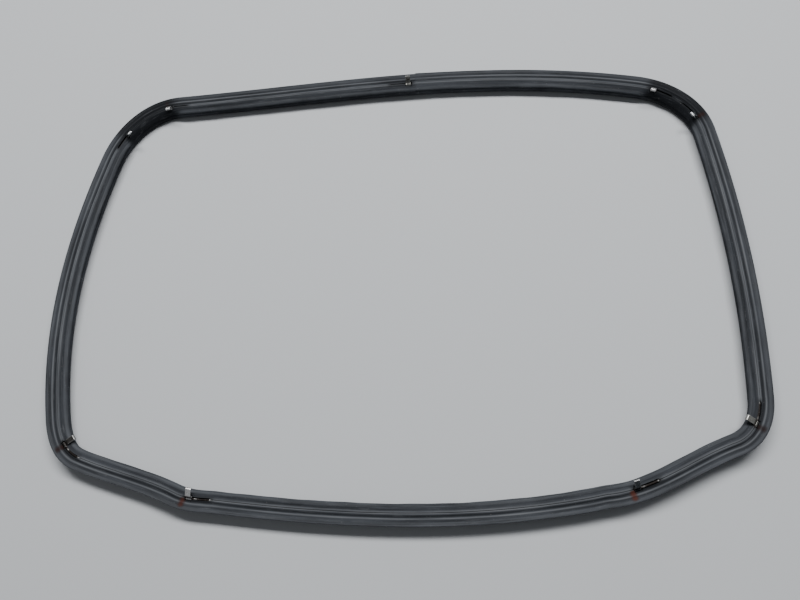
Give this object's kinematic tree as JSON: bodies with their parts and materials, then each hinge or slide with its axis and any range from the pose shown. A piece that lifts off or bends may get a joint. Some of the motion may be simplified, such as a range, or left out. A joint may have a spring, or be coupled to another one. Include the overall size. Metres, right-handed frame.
{
  "type": "door seal",
  "caption": "Closed loop of hollow black rubber profile with round upper and diagonal lower corners, and small steel hooks that rock in a slit in its mounting face.",
  "frame": {"origin": "middle of the loop's box, on the surface that the bulb rests on", "axes": "+X to the right along the loop's longest extent, +Y towards the run between the round corners, +Z out of the mounting face"},
  "size_m": [0.5362, 0.3746, 0.0187],
  "materials": {
    "seal_rubber": "dusty black rubber, satin, with rubbed lighter ribs and rust-brown marks beside the hooks",
    "plug_rubber": "matte black rubber",
    "wire_steel": "drawn steel wire",
    "strip_steel": "bright rolled steel strip, lightly worn and stained"
  },
  "bodies": {
    "seal": {"seal_loop": "seal_rubber", "joint_plug": "plug_rubber", "pin_top_left": "wire_steel", "pin_left_upper": "wire_steel", "pin_left_lower": "wire_steel", "pin_bottom_left": "wire_steel", "pin_bottom_right": "wire_steel", "pin_right_lower": "wire_steel", "pin_right_upper": "wire_steel", "pin_top_right": "wire_steel", "pin_top_centre": "wire_steel"},
    "hook_top_left": {"hook_top_left": "strip_steel"},
    "hook_left_upper": {"hook_left_upper": "strip_steel"},
    "hook_left_lower": {"hook_left_lower": "strip_steel"},
    "hook_bottom_left": {"hook_bottom_left": "strip_steel"},
    "hook_bottom_right": {"hook_bottom_right": "strip_steel"},
    "hook_right_lower": {"hook_right_lower": "strip_steel"},
    "hook_right_upper": {"hook_right_upper": "strip_steel"},
    "hook_top_right": {"hook_top_right": "strip_steel"},
    "hook_top_centre": {"hook_top_centre": "strip_steel"}
  },
  "joints": [
    {"name": "top_left_rock", "type": "hinge", "parent": "seal", "child": "hook_top_left", "pos_m": [-0.19995, 0.16592, 0.00955], "axis": [-0.9688, -0.248, 0], "range_deg": [-39, 51]},
    {"name": "left_upper_rock", "type": "hinge", "parent": "seal", "child": "hook_left_upper", "pos_m": [-0.23371, 0.13999, 0.00955], "axis": [-0.5381, -0.8429, 0], "range_deg": [-41, 49]},
    {"name": "left_lower_rock", "type": "hinge", "parent": "seal", "child": "hook_left_lower", "pos_m": [-0.23972, -0.13108, 0.00955], "axis": [0.6057, -0.7957, 0], "range_deg": [0, 90]},
    {"name": "bottom_left_rock", "type": "hinge", "parent": "seal", "child": "hook_bottom_left", "pos_m": [-0.14096, -0.16909, 0.00955], "axis": [0.9862, -0.1659, 0], "range_deg": [-33, 57]},
    {"name": "bottom_right_rock", "type": "hinge", "parent": "seal", "child": "hook_bottom_right", "pos_m": [0.16759, -0.16344, 0.00955], "axis": [0.9559, 0.2937, 0], "range_deg": [-42, 48]},
    {"name": "right_lower_rock", "type": "hinge", "parent": "seal", "child": "hook_right_lower", "pos_m": [0.25102, -0.12066, 0.00955], "axis": [0.5001, 0.866, 0], "range_deg": [-17, 73]},
    {"name": "right_upper_rock", "type": "hinge", "parent": "seal", "child": "hook_right_upper", "pos_m": [0.24688, 0.13134, 0.00955], "axis": [-0.4208, 0.9072, 0], "range_deg": [-41, 49]},
    {"name": "top_right_rock", "type": "hinge", "parent": "seal", "child": "hook_top_right", "pos_m": [0.21706, 0.1597, 0.00955], "axis": [-0.911, 0.4125, 0], "range_deg": [-39, 51]},
    {"name": "top_centre_rock", "type": "hinge", "parent": "seal", "child": "hook_top_centre", "pos_m": [0.01205, 0.17906, 0.00955], "axis": [0.9996, 0.0269, 0], "range_deg": [0, 90]}
  ]
}
